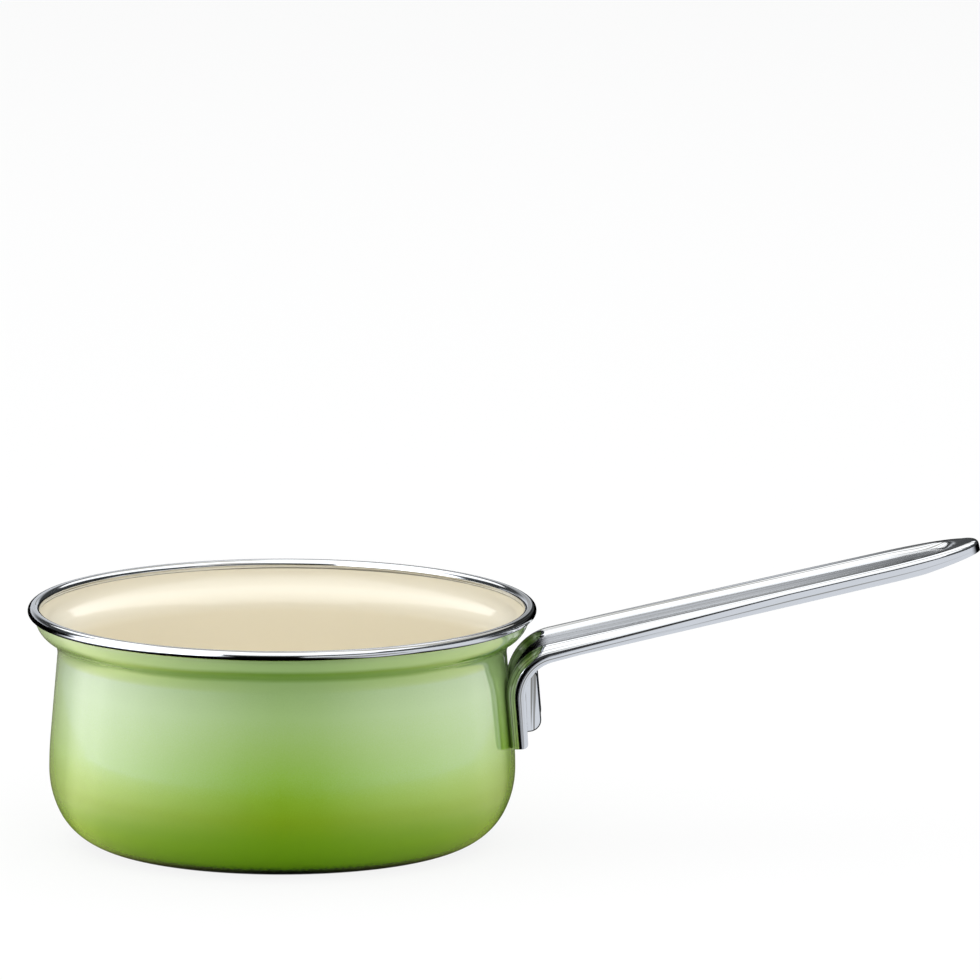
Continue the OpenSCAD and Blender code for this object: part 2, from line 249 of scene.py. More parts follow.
class Value:
    """A socket of a node tree. A sum written on it adds the Math node that works it out."""

    def __init__(self, nodes, socket):
        self.nodes, self.socket = nodes, socket

    def math(self, operation, *terms):
        feeds = dict(enumerate(terms))
        return self.nodes.add("ShaderNodeMath", {"operation": operation}, feeds)[0]

    def __add__(self, other):
        return self.math("ADD", self, other)

    def __sub__(self, other):
        return self.math("SUBTRACT", self, other)

    def __rsub__(self, other):
        return self.math("SUBTRACT", other, self)

    def __mul__(self, other):
        return self.math("MULTIPLY", self, other)

    def __truediv__(self, other):
        return self.math("DIVIDE", self, other)

    def __rtruediv__(self, other):
        return self.math("DIVIDE", other, self)

    def __pow__(self, other):
        return self.math("POWER", self, other)

    __radd__ = __add__
    __rmul__ = __mul__

    def most(self, other):
        return self.math("MAXIMUM", self, other)

    def of(self, operation):
        """A function of this value alone, such as its sine."""
        return self.math(operation, self)

    def between(self, low, high):
        """0 up to low, 1 from high on, and smooth in between."""
        settings = {"interpolation_type": "SMOOTHSTEP"}
        return self.nodes.add(
            "ShaderNodeMapRange", settings, {"Value": self, "From Min": low, "From Max": high}
        )["Result"]


class Outputs:
    """The outputs of a node, by name or number."""

    def __init__(self, nodes, node):
        self.nodes, self.node = nodes, node

    def __getitem__(self, key):
        return Value(self.nodes, self.node.outputs[key])


class Nodes:
    """The nodes of one tree, each made with its settings first and its inputs after."""

    def __init__(self, tree):
        self.tree = tree

    def add(self, kind, settings=None, feeds=None):
        node = self.tree.nodes.new(kind)
        for name, value in (settings or {}).items():
            if name == "stops":
                self.set_stops(node.color_ramp, value)
            else:
                setattr(node, name, value)
        for key, value in (feeds or {}).items():
            self.feed(node.inputs[key], value)
        return Outputs(self, node)

    def feed(self, socket, value):
        if isinstance(value, Value):
            self.tree.links.new(value.socket, socket)
        elif socket.type == "RGBA" and len(value) == 3:
            socket.default_value = (*value, 1.0)
        else:
            socket.default_value = value

    def set_stops(self, ramp, stops):
        while len(ramp.elements) < len(stops):
            ramp.elements.new(1.0)
        for element, (place, colour) in zip(ramp.elements, stops):
            element.position = place
            element.color = (*colour, 1.0)

    def blend(self, factor, under, over, how="MIX"):
        """Two colours mixed by a factor."""
        settings = {"data_type": "RGBA", "blend_type": how}
        return self.add("ShaderNodeMix", settings, {0: factor, 6: under, 7: over})[2]


class Finish(Nodes):
    """A material: the Principled shader with what feeds it."""

    def __init__(self, name):
        self.material = bpy.data.materials.new(name)
        self.material.use_nodes = True
        super().__init__(self.material.node_tree)
        self.tree.nodes.clear()
        self.place = self.add("ShaderNodeTexCoord")["Object"]

    def axes(self):
        split = self.add("ShaderNodeSeparateXYZ", None, {0: self.place})
        return split["X"], split["Y"], split["Z"]

    def point(self, x, y, z):
        return self.add("ShaderNodeCombineXYZ", None, {"X": x, "Y": y, "Z": z})["Vector"]

    def noise(self, scale, detail=2.0, rough=0.5, place=None):
        feeds = {"Vector": place or self.place, "Scale": scale}
        feeds |= {"Detail": detail, "Roughness": rough}
        return self.add("ShaderNodeTexNoise", None, feeds)["Fac"]

    def spots(self, scale):
        """Distance from the nearest of many scattered points, in cells."""
        feeds = {"Vector": self.place, "Scale": scale}
        return self.add("ShaderNodeTexVoronoi", None, feeds)["Distance"]

    def bump(self, height, depth, under=None):
        """Height from 0 to 1 as a relief that is so many metres deep."""
        feeds = {"Height": height, "Distance": depth, "Strength": 1.0}
        if under:
            feeds["Normal"] = under
        return self.add("ShaderNodeBump", None, feeds)["Normal"]

    def end(self, shader):
        self.add("ShaderNodeOutputMaterial", None, {"Surface": shader})
        return self.material

    def close(self, colour, gloss, relief, **constants):
        feeds = {"Base Color": colour, "Roughness": gloss, "Normal": relief} | constants
        return self.end(self.add("ShaderNodeBsdfPrincipled", None, feeds)["BSDF"])

    def glow(self, colour, strength):
        feeds = {"Color": colour, "Strength": strength}
        return self.add("ShaderNodeEmission", None, feeds)[0]


# Finishes


def green_enamel(tones, pan):
    """Glossy enamel sprayed in greens that fade into each other up the wall."""
    f = Finish("graded_green_enamel")
    x, y, z = f.axes()
    mist = f.noise(2600.0, 1.0) - 0.5
    drift = f.noise(22.0, 2.0) - 0.5
    level = z + mist * 0.008 + drift * 0.003
    stops = [
        (0.0, tones.base_green),
        (0.185, tones.low_green),
        (0.27, tones.belly_green),
        (0.355, tones.upper_belly_green),
        (0.44, tones.middle_green),
        (0.566, tones.upper_green),
        (0.70, tones.neck_green),
        (0.83, tones.rim_green),
    ]
    graded = f.add("ShaderNodeValToRGB", {"stops": stops}, {0: level / pan.pan_h})["Color"]
    speck = f.noise(4200.0, 2.0, 0.7).between(0.66, 0.8) * z.between(0.012, 0.05)
    colour = f.blend(speck * 0.22, graded, tones.belly_green)
    # Painted shade: a band of darker green under the lip, where the hollow lies in shade
    edge = f.noise(34.0, 2.0) * 0.0012
    edge = z + edge
    hollow = edge.between(0.0673, 0.0694) * edge.between(0.0730, 0.0712)
    colour = f.blend(hollow * 0.9, colour, tones.hollow_shade_green)
    overspray = (z + (f.noise(900.0, 3.0) - 0.5) * 0.0022).between(0.0052, 0.0026)
    colour = f.blend(overspray * 0.75, colour, tones.base_dark)
    peel = f.noise(260.0, 2.0, 0.4)
    pull = f.noise(48.0, 1.0)
    relief = f.bump(pull, 0.00012, f.bump(peel, 0.000006))
    gloss = 0.045 + f.noise(120.0, 3.0) * 0.03 + overspray * 0.12
    return f.close(colour, gloss, relief, IOR=1.7)


def cream_enamel(tones):
    """Glossy cream enamel, a little uneven, as it is inside the pan."""
    f = Finish("cream_enamel")
    cloud = f.noise(30.0, 3.0)
    grain = f.noise(3000.0, 1.0)
    shade = f.blend(cloud * 0.07 + grain * 0.05, tones.cream, linear(226, 212, 180))
    fleck = f.spots(520.0).between(0.055, 0.03)
    shade = f.blend(fleck * 0.25, shade, linear(196, 180, 148))
    relief = f.bump(f.noise(52.0, 1.0), 0.0001, f.bump(f.noise(300.0, 2.0), 0.000005))
    gloss = 0.06 + cloud * 0.04
    return f.close(shade, gloss, relief, IOR=1.52)


def dark_enamel(tones):
    """Near black enamel on the base, with the ring where the pan stands a little scuffed."""
    f = Finish("dark_enamel")
    x, y, z = f.axes()
    out = (x * x + y * y) ** 0.5
    ring = (out - 0.050).of("ABSOLUTE").between(0.007, 0.0)
    scuffs = f.noise(420.0, 4.0, 0.7).between(0.5, 0.66) * ring
    fleck = f.noise(2400.0, 2.0).between(0.62, 0.75)
    shade = f.blend(fleck * 0.35, tones.base_dark, linear(70, 74, 78))
    shade = f.blend(scuffs * 0.5, shade, linear(92, 92, 92))
    relief = f.bump(f.noise(700.0, 3.0), 0.00002)
    gloss = 0.16 + scuffs * 0.3 + fleck * 0.1
    return f.close(shade, gloss, relief, IOR=1.5)


def polished_steel(name, tones, lines, smear):
    """Polished stainless steel: lines is where the polishing lines run, drawn out along them."""
    f = Finish(name)
    grain = f.noise(1.0, 3.0, 0.65, lines(f))
    cloud = f.noise(smear, 3.0)
    scratch = f.noise(2.2, 1.0, 0.5, lines(f)).between(0.66, 0.72)
    streaks = f.noise(0.13, 2.0, 0.5, lines(f))
    # Painted reflection: darker stripes along the polishing lines stand for the grey stripes that
    # the polished faces mirror
    painted_reflection_stripes = streaks.between(0.52, 0.60)
    shade = f.blend(grain * 0.25 + cloud * 0.1, tones.steel, linear(193, 195, 199))
    shade = f.blend(painted_reflection_stripes * 0.85, shade, linear(122, 120, 113))
    gloss = 0.035 + grain * 0.05 + cloud * 0.04 + scratch * 0.06
    relief = f.bump(streaks, 0.00002, f.bump(grain, 0.0000012))
    relief = f.bump(f.noise(smear * 0.6, 1.0), 0.00003, relief)
    return f.close(shade, gloss, relief, Metallic=1.0)


def round_lines(f):
    """Polishing lines that run round the pan's axis."""
    x, y, z = f.axes()
    out = (x * x + y * y) ** 0.5
    turn = f.add("ShaderNodeMath", {"operation": "ARCTAN2"}, {0: y, 1: x})[0]
    return f.point(out * 9000.0, turn * 6.0, z * 9000.0)


def handle_lines(f):
    """Polishing lines that run along the handle, round its bend as well."""
    spread = f.add("ShaderNodeUVMap", {"uv_map": "along"})["UV"]
    split = f.add("ShaderNodeSeparateXYZ", None, {0: spread})
    return f.point(split["X"] * 30.0, split["Y"] * 7000.0, 0.0)


def upright_lines(f):
    """Polishing lines up and down the bracket."""
    x, y, z = f.axes()
    return f.point(x * 6000.0, y * 6000.0, z * 120.0)


def shaded_cut_steel(tones):
    """The sheet's sheared edge: duller than polished faces, painted dark as the shade it mirrors.
    """
    name = "cut_edge_steel"
    if name in bpy.data.materials:
        return bpy.data.materials[name]
    f = Finish(name)
    tears = f.noise(900.0, 3.0, 0.6)
    shade = f.blend(tears * 0.5, tones.shaded_cut_steel, linear(64, 66, 68))
    gloss = 0.28 + tears * 0.2
    relief = f.bump(tears, 0.00001)
    return f.close(shade, gloss, relief, Metallic=1.0)


def stud_steel(tones):
    """Steel of the weld studs, hammered a little and dulled by the welding."""
    f = Finish("stud_steel")
    dents = f.noise(1300.0, 2.0)
    tint = f.noise(500.0, 2.0)
    shade = f.blend(tint * 0.6, tones.steel, linear(170, 160, 148))
    gloss = 0.2 + dents * 0.15
    relief = f.bump(dents, 0.00006)
    return f.close(shade, gloss, relief, Metallic=1.0)


def pressed_steel(tones):
    """Bare pressed steel, with drawing lines round it."""
    f = Finish("pressed_steel")
    lines = f.noise(1.0, 3.0, 0.6, round_lines(f))
    shade = f.blend(lines * 0.4, tones.dull_steel, linear(118, 117, 116))
    gloss = 0.3 + lines * 0.2
    return f.close(shade, gloss, f.bump(lines, 0.00001), Metallic=1.0)


# Meshes


def new_object(name, mesh):
    made = bpy.data.objects.new(name, mesh)
    bpy.context.scene.collection.objects.link(made)
    return made


def mesh_of(name, points, faces, edges=()):
    mesh = bpy.data.meshes.new(name)
    mesh.from_pydata([tuple(map(float, p)) for p in points], list(edges), list(faces))
    mesh.update()
    return mesh


def settle(made):
    """Makes what the modifiers give the object's plain mesh, and takes them off."""
    bpy.context.view_layer.update()
    done = made.evaluated_get(bpy.context.evaluated_depsgraph_get())
    mesh = bpy.data.meshes.new_from_object(done)
    made.modifiers.clear()
    made.data = mesh
    if not mesh.polygons:
        raise RuntimeError(f"{made.name} came out empty")


def smooth(made, sharp_from=38.0):
    """Joins doubled points, turns all faces outwards and shades smooth between sharp edges."""
    work = bmesh.new()
    work.from_mesh(made.data)
    bmesh.ops.remove_doubles(work, verts=work.verts, dist=WELD)
    bmesh.ops.dissolve_degenerate(work, edges=work.edges, dist=WELD / 2)
    bmesh.ops.recalc_face_normals(work, faces=work.faces)
    work.to_mesh(made.data)
    work.free()
    made.data.polygons.foreach_set("use_smooth", [True] * len(made.data.polygons))
    made.data.set_sharp_from_angle(angle=radians(sharp_from))
    made.data.update()


def paint(made, *materials):
    made.data.materials.clear()
    for material in materials:
        made.data.materials.append(material)


def join_in(made, nodes):
    """The piece rides on the pan and stands for its CAD nodes, which it hides."""
    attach(made, BODY)
    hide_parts(*nodes)


def geometry_tree(name, inputs, output):
    """An empty tree of Geometry Nodes with its inputs, by name and type, and one output."""
    tree = bpy.data.node_groups.new(name, "GeometryNodeTree")
    for label, kind in inputs.items():
        tree.interface.new_socket(label, in_out="INPUT", socket_type="NodeSocket" + kind)
    tree.interface.new_socket(output, in_out="OUTPUT", socket_type="NodeSocketGeometry")
    return tree


def end_tree(n, shape, material):
    """Makes the instances real, sets the material and gives the result out."""
    real = n.add("GeometryNodeRealizeInstances", None, {0: shape})[0]
    feeds = {"Geometry": real, "Material": material}
    n.add("NodeGroupOutput", None, {0: n.add("GeometryNodeSetMaterial", None, feeds)[0]})
    return n.tree


def turning_tree():
    """Geometry Nodes that turn a section, drawn in X and Z, about the Z axis."""
    name = "turned_section"
    if name in bpy.data.node_groups:
        return bpy.data.node_groups[name]
    inputs = {"Section": "Geometry", "Steps round": "Int", "Material": "Material"}
    n = Nodes(geometry_tree(name, inputs, "Turned"))
    given = n.add("NodeGroupInput")
    section, steps = given["Section"], given["Steps round"]
    size = n.add("GeometryNodeAttributeDomainSize", {"component": "MESH"}, {0: section})
    rows = size["Point Count"]
    feeds = {"Size X": 1.0, "Size Y": 1.0, "Vertices X": steps + 1.0, "Vertices Y": rows}
    sheet = n.add("GeometryNodeMeshGrid", None, feeds)["Mesh"]
    spot = n.add("GeometryNodeInputPosition")[0]
    here = n.add("ShaderNodeSeparateXYZ", None, {0: spot})
    row = ((here["Y"] + 0.5) * (rows - 1.0)).of("ROUND")
    turn = (here["X"] + 0.5) * (2 * pi)
    place = n.add(
        "GeometryNodeSampleIndex",
        {"data_type": "FLOAT_VECTOR", "domain": "POINT"},
        {"Geometry": section, "Value": spot, "Index": row},
    )[0]
    at = n.add("ShaderNodeSeparateXYZ", None, {0: place})
    x, y = at["X"] * turn.of("COSINE"), at["X"] * turn.of("SINE")
    where = n.add("ShaderNodeCombineXYZ", None, {"X": x, "Y": y, "Z": at["Z"]})[0]
    bent = n.add("GeometryNodeSetPosition", None, {"Geometry": sheet, "Position": where})[0]
    shut = n.add("GeometryNodeMergeByDistance", None, {"Geometry": bent, "Distance": WELD})[0]
    return end_tree(n, shut, given["Material"])


def row_tree():
    """Geometry Nodes that set copies of a mesh in a row up the leg."""
    inputs = {"Stud": "Geometry", "Studs": "Int", "First": "Float", "Spacing": "Float"}
    n = Nodes(geometry_tree("stud_row", inputs | {"Material": "Material"}, "Row"))
    given = n.add("NodeGroupInput")
    first = n.add("ShaderNodeCombineXYZ", None, {"Z": given["First"]})[0]
    step = n.add("ShaderNodeCombineXYZ", None, {"Z": given["Spacing"]})[0]
    feeds = {"Count": given["Studs"], "Start Location": first, "Offset": step}
    row = n.add("GeometryNodeMeshLine", None, feeds)["Mesh"]
    feeds = {"Points": row, "Instance": given["Stud"]}
    set_out = n.add("GeometryNodeInstanceOnPoints", None, feeds)["Instances"]
    return end_tree(n, set_out, given["Material"])


def give_nodes(made, tree, **values):
    """Puts a Geometry Nodes modifier on the object with its named inputs set."""
    modifier = made.modifiers.new(tree.name, "NODES")
    modifier.node_group = tree
    for item in tree.interface.items_tree:
        if item.item_type == "SOCKET" and item.in_out == "INPUT" and item.name in values:
            modifier[item.identifier] = values[item.name]


def turned(name, section, steps, material):
    """A ring or shell turned from a section of (radius, height) points."""
    points = [(r, 0.0, z) for r, z in section]
    edges = [(i, i + 1) for i in range(len(points) - 1)]
    made = new_object(name, mesh_of(name, points, (), edges))
    give_nodes(made, turning_tree(), **{"Steps round": steps, "Material": material})
    settle(made)
    smooth(made)
    return made


# The pan's wall


def outward(lean):
    """The wall's outward normal, as radius and height, where it leans out by an angle."""
    return np.array([cos(lean), -sin(lean)])


class PanWall:
    """The wall as one chain of arcs, as in its CAD section."""

    def __init__(self, pan):
        self.pan = pan
        self.wall_t = pan.steel_t + 2 * pan.coat_t
        rim_r = pan.rim_d / 2
        self.belly_r = rim_r - pan.belly_in
        self.neck_r = rim_r - pan.neck_in
        self.rim_z = pan.pan_h - pan.band_h / 2
        self.band_r = rim_r - pan.band_w / 2
        roll_r = min(pan.band_w, pan.band_h) / 2 - pan.band_t - pan.coat_t / 2
        self.lip_r = rim_r - pan.band_w + pan.band_t + self.wall_t + pan.band_fit
        self.lip_z = self.rim_z - roll_r
        neck_z = pan.pan_h - pan.neck_drop
        self.shoulder_h = neck_z - pan.belly_z
        self.shoulder_round = pan.shoulder_share * self.shoulder_h
        flare = 2 * atan((self.lip_r - self.neck_r) / (self.lip_z - neck_z))
        lip_round = (self.lip_z - neck_z) / sin(flare) - pan.neck_round
        bend, corner, belly = pan.belly_round, pan.corner_round, self.belly_r
        turn = asin((pan.belly_z - corner) / (bend - corner))
        corner_c = (belly - bend + (bend - corner) * cos(turn), corner)
        self.shoulder_c = np.array([belly - self.shoulder_round, pan.belly_z])
        neck_c = np.array([self.neck_r + pan.neck_round, neck_z])
        gap = neck_c - self.shoulder_c
        reach = self.shoulder_round + pan.neck_round
        self.lean = atan2(gap[1], gap[0]) - acos(reach / hypot(*gap))
        self.arcs = [
            (corner_c, corner, pi / 2, turn),
            ((belly - bend, pan.belly_z), bend, turn, 0.0),
            (self.shoulder_c, self.shoulder_round, 0.0, -self.lean),
            (neck_c, -pan.neck_round, -self.lean, flare),
            ((self.lip_r - lip_round, self.lip_z), lip_round, flare, 0.0),
        ]

    def line(self, depth, spacing=0.0009):
        """The section at a depth below the outer face, from the axis to the rim."""
        base_end = self.arcs[0][0][0]
        flat = [(base_end * i / 8, depth) for i in range(8)]
        points = [np.array(p) for p in flat]
        for centre, radius, start, end in self.arcs:
            steps = max(6, int(abs(radius * (end - start)) / spacing))
            for i in range(steps + 1):
                way = start + (end - start) * i / steps
                points.append(np.array(centre) + (radius - depth) * outward(way))
            if radius == self.shoulder_round:
                last, far = points[-1], np.array(self.arcs[3][0])
                first = far + (self.arcs[3][1] - depth) * outward(-self.lean)
                points += [last + (first - last) * i / 8 for i in range(1, 8)]
        return points

    def layer(self, outer_depth, inner_depth, top_z):
        """The closed section of one layer, up to a height, starting and ending on the axis."""
        outer, inner = self.line(outer_depth), self.line(inner_depth)
        head = [(self.lip_r - outer_depth, top_z), (self.lip_r - inner_depth, top_z)]
        return outer, head, inner[::-1]


def cut_at(line, height):
    """The part of a line above a height, with a point put on the cut."""
    for i in range(1, len(line)):
        if line[i][1] > height:
            low, high = line[i - 1], line[i]
            spot = low + (high - low) * (height - low[1]) / (high[1] - low[1])
            return i, spot
    raise RuntimeError("the wall doesn't reach that height")


# The handle


def ease(start, end, way):
    return start + (end - start) * np.clip(way, 0.0, 1.0)


class HandleShape:
    """The pressed channel: rings of points across a path of a leg, a bend and a grip."""

    def __init__(self, pan, sizes):
        self.s = sizes
        wall = PanWall(pan)
        self.lean = wall.lean
        crest_y = sizes.root_w / 2 - sizes.bead_w
        self.groove_h = wall.belly_r - sqrt(wall.belly_r**2 - crest_y**2)
        wall_foot = wall.shoulder_c + wall.shoulder_round * outward(-wall.lean)
        crest_foot = wall_foot - (self.groove_h - sizes.seat_fit) * outward(-wall.lean)
        foot_z = pan.belly_z + sizes.foot_share * wall.shoulder_h
        self.leg_len = sizes.leg_share * wall.shoulder_h
        slide = (foot_z - crest_foot[1]) / cos(wall.lean)
        self.foot = crest_foot + slide * np.array([-sin(wall.lean), cos(wall.lean)])
        self.bend_turn = pi / 2 + wall.lean - sizes.grip_angle
        self.bend_len = sizes.bend_r * self.bend_turn
        self.grip_start = self.leg_len + self.bend_len
        self.round_start = sizes.grip_len - sizes.tip_len
        self.nose_start = sizes.grip_len - sizes.groove_stop - sizes.groove_nose
        self.web_w = self.groove_h + sizes.sheet_t

    def place(self, points):
        """Points of the leg's frame, X away from the wall and Z up the leg, put on the pan."""
        x, y, z = np.asarray(points, float).T
        lean = self.lean
        return np.stack(
            [
                self.foot[0] + x * cos(lean) - z * sin(lean),
                y,
                self.foot[1] + x * sin(lean) + z * cos(lean),
            ],
            axis=1,
        )

    def on_path(self, p, y, rise):
        turn = min(max(p - self.leg_len, 0.0), self.bend_len) / self.s.bend_r
        past = max(p - self.grip_start, 0.0)
        bend = self.s.bend_r
        if p < self.leg_len:
            crest = (0.0, p)
        else:
            crest = (
                bend - bend * cos(turn) + past * sin(turn),
                self.leg_len + bend * sin(turn) + past * cos(turn),
            )
        return np.stack([crest[0] - rise * cos(turn), y, crest[1] + rise * sin(turn)], axis=1)

    def half_width(self, s):
        z = self.s
        way = (s - z.taper_start) / (self.round_start - z.taper_start)
        return ease(z.root_w, z.tip_w, way) / 2

    def floor_half(self, s):
        z = self.s
        way = (s - z.taper_start) / (self.nose_start - z.taper_start)
        return ease(z.groove_root_w, z.groove_end_w, way) / 2

    def depth_at(self, s):
        z, p = self.s, s + self.grip_start
        if p < self.leg_len:
            lift = z.foot_round - sqrt(z.foot_round**2 - max(z.foot_round - p, 0.0) ** 2)
            return ease(z.foot_h, z.root_h, p / self.leg_len) - lift
        if s < z.root_fade:
            return ease(z.root_h, z.channel_h, (p - self.leg_len) / (self.bend_len + z.root_fade))
        return ease(z.channel_h, z.tip_h, (s - z.grip_len + z.tip_h_len) / z.tip_h_len)

    def bead_at(self, s):
        return ease(self.s.bead_root_round, self.s.bead_round, s / self.s.bead_fade)

    def from_edge(self, s, y, inset):
        half, reach = self.half_width(s) - inset, self.s.tip_len - inset
        past = max(s - self.round_start, 0.0)
        way = np.hypot(past / reach, y / half)
        pull = np.hypot(past / reach**2, y / half**2)
        return np.where(way < 0.01, half, (1 - way) * way / np.maximum(pull, 1e-9))

    def groove_at(self, s, y):
        z = self.s
        past = max(s - self.nose_start, 0.0)
        floor_w, brim_w = self.floor_half(s), self.half_width(s) - z.bead_w
        over = np.hypot(past / z.groove_nose, y / floor_w) - 1
        inside = 1 - np.hypot(past / (z.groove_nose + z.groove_ramp), y / brim_w)
        span = np.where(np.abs(over + inside) < 1e-9, 1e-9, over + inside)
        slope = self.groove_h * (1 + np.cos(pi * over / span)) / 2
        sag = ease(0.0, z.groove_sag, s / z.sag_fade)
        floor = self.groove_h + sag * (1 - (1 + over) ** 2)
        return np.where(over <= 0, floor, np.where(inside <= 0, 0.0, slope))

    def across(self, s, inset):
        """Places across the handle from the edge to the middle, and which are side wall."""
        half, floor_w = self.half_width(s), self.floor_half(s)
        brim, bead = half - self.s.bead_w, self.bead_at(s)
        wall = [half - inset] * 5
        turns = np.linspace(0, pi / 2, 13)
        round_part = [half - bead + (bead - inset) * cos(a) for a in turns]
        slope = [brim + (floor_w - brim) * q for q in np.linspace(0, 1, 19)]
        floor = [floor_w * q for q in np.linspace(1, 0, 11)[1:]]
        return np.array(wall + round_part + slope + floor), len(wall)

    def ring(self, p, narrowing, inset):
        s = p - self.grip_start
        places, walls = self.across(s, inset)
        y = np.concatenate([-places, places[-2::-1]]) * narrowing
        bead = self.bead_at(s) - inset
        inside = np.clip(self.from_edge(s, y, inset), 0.0, bead)
        fall = np.sqrt(np.maximum(bead**2 - (bead - inside) ** 2, 0.0)) - bead
        rise = fall - self.groove_at(s, y) - inset - self.s.skin
        low, high = -self.depth_at(s), -self.bead_at(s)
        ways = np.linspace(0, 1, walls + 1)[:-1]
        rise[:walls] = low + (high - low) * ways
        rise[-walls:] = rise[:walls][::-1]
        return self.on_path(p, y, rise)

    def stations(self, inset):
        """The places of the rings along the path, with how far each is narrowed."""
        z = self.s
        foot = [z.foot_round * (1 - cos(a)) for a in np.linspace(0, pi / 2, 8)[:-1]]
        leg = list(np.linspace(z.foot_round, self.leg_len, 13)[:-1])
        bend = list(self.leg_len + np.linspace(0, self.bend_len, 57)[:-1])
        grip = list(self.grip_start + np.linspace(0, self.round_start, 101)[:-1])
        turns = np.linspace(0, pi / 2, 61)
        start = self.grip_start + self.round_start
        tip = [(start + (z.tip_len - inset) * sin(a), max(cos(a), 0.0)) for a in turns]
        return [(p, 1.0) for p in foot + leg + bend + grip] + tip

    def mesh(self, name):
        """The whole shell, its two faces joined along the free edge and at the lower end."""
        sides = [
            [self.ring(p, narrow, inset) for p, narrow in self.stations(inset)]
            for inset in (0.0, self.s.sheet_t)
        ]
        rows, wide = len(sides[0]), len(sides[0][0])
        points = self.place(np.concatenate([np.concatenate(side) for side in sides]))
        steps = np.linalg.norm(np.diff(sides[0][20], axis=0), axis=1)
        across = np.concatenate([[0.0], np.cumsum(steps)])
        spread = [(p, across[j]) for p, _ in self.stations(0.0) for j in range(wide)] * 2
        shift = rows * wide
        faces = []
        for i in range(rows - 1):
            for j in range(wide - 1):
                a, b = i * wide + j, (i + 1) * wide + j
                faces.append((a, a + 1, b + 1, b))
                faces.append((b + shift, b + 1 + shift, a + 1 + shift, a + shift))
            for j in (0, wide - 1):
                a, b = i * wide + j, (i + 1) * wide + j
                faces.append((a, b, b + shift, a + shift))
        for j in range(wide - 1):
            faces.append((j + 1, j, j + shift, j + 1 + shift))
        mesh = mesh_of(name, points, faces)
        layer = mesh.uv_layers.new(name="along")
        corners = np.empty(len(mesh.loops), dtype=np.int64)
        mesh.loops.foreach_get("vertex_index", corners)
        layer.data.foreach_set("uv", np.array(spread)[corners].ravel())
        return mesh


def flange_outline(shape, bracket):
    """A flange seen from the side, as (away from the wall, up the leg) points."""
    back = shape.web_w + bracket.bracket_fit
    low, reach = bracket.bracket_start, bracket.bracket_reach
    high = low + bracket.bracket_len
    bend = shape.s.bend_r
    points = [(back, low)]
    for turn in np.linspace(-pi / 2, 0, 14):
        r = bracket.low_round
        points.append((reach - r + r * cos(turn), low + r + r * sin(turn)))
    for turn in np.linspace(0, pi / 2, 12):
        r = bracket.top_round
        points.append((reach - r + r * cos(turn), high - r + r * sin(turn)))
    inner = bend - back
    last = asin((high - shape.leg_len) / inner)
    for turn in np.linspace(last, 0, 20):
        points.append((bend - inner * cos(turn), shape.leg_len + inner * sin(turn)))
    return points


def prism(name, outline, y_low, y_high, shape):
    """A flat plate: an outline of (X, Z) points between two places in Y."""
    size = len(outline)
    points = [(x, y_low, z) for x, z in outline] + [(x, y_high, z) for x, z in outline]
    sides = [(i, (i + 1) % size, (i + 1) % size + size, i + size) for i in range(size)]
    faces = [tuple(range(size - 1, -1, -1)), tuple(range(size, 2 * size))] + sides
    made = new_object(name, mesh_of(name, shape.place(points), faces))
    smooth(made)
    return made


# Operators


class PieceOperator:
    """What the operators of the pieces share."""

    bl_options = {"REGISTER", "UNDO"}

    def execute(self, context):
        scene = context.scene
        self.pan, self.handle = scene.saucepan_pan, scene.saucepan_handle
        self.bracket, self.tones = scene.saucepan_bracket, scene.saucepan_tones
        self.studio = scene.saucepan_studio
        self.build(context)
        return {"FINISHED"}


class SAUCEPAN_OT_steel_body(PieceOperator, Operator):
    """Give the pressed steel under the enamel its finish"""

    bl_idname = "saucepan.steel_body"
    bl_label = "Steel body"

    def build(self, context):
        material = pressed_steel(self.tones)
        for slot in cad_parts["steel_body"].material_slots:
            slot.material = material


class SAUCEPAN_OT_outer_enamel(PieceOperator, Operator):
    """Make the graded green coat on the outside of the wall"""

    bl_idname = "saucepan.outer_enamel"
    bl_label = "Outer enamel"

    def build(self, context):
        wall = PanWall(self.pan)
        outer, head, inner = wall.layer(0.0, self.pan.coat_t, wall.lip_z)
        first, low = cut_at(outer, self.pan.base_coat_h)
        last, under = cut_at(inner[::-1], self.pan.base_coat_h)
        section = [low, *outer[first:], *head, *inner[: len(inner) - last], under, low]
        material = green_enamel(self.tones, self.pan)
        made = turned("outer_coat", section, self.pan.steps_round, material)
        join_in(made, ["outer_enamel"])


class SAUCEPAN_OT_inner_enamel(PieceOperator, Operator):
    """Make the cream coat on the inside of the pan"""

    bl_idname = "saucepan.inner_enamel"
    bl_label = "Inner enamel"

    def build(self, context):
        wall = PanWall(self.pan)
        steel_in = self.pan.coat_t + self.pan.steel_t
        outer, head, inner = wall.layer(steel_in, wall.wall_t, wall.lip_z)
        material = cream_enamel(self.tones)
        made = turned("inner_coat", [*outer, *head, *inner], self.pan.steps_round, material)
        join_in(made, ["inner_enamel"])


class SAUCEPAN_OT_base_enamel(PieceOperator, Operator):
    """Make the dark coat on the base"""

    bl_idname = "saucepan.base_enamel"
    bl_label = "Base enamel"

    def build(self, context):
        wall = PanWall(self.pan)
        outer, inner = wall.line(0.0), wall.line(self.pan.coat_t)
        first, low = cut_at(outer, self.pan.base_coat_h)
        last, under = cut_at(inner, self.pan.base_coat_h)
        section = [*outer[:first], low, under, *inner[:last][::-1]]
        made = turned("base_coat", section, self.pan.steps_round, dark_enamel(self.tones))
        join_in(made, ["base_enamel"])


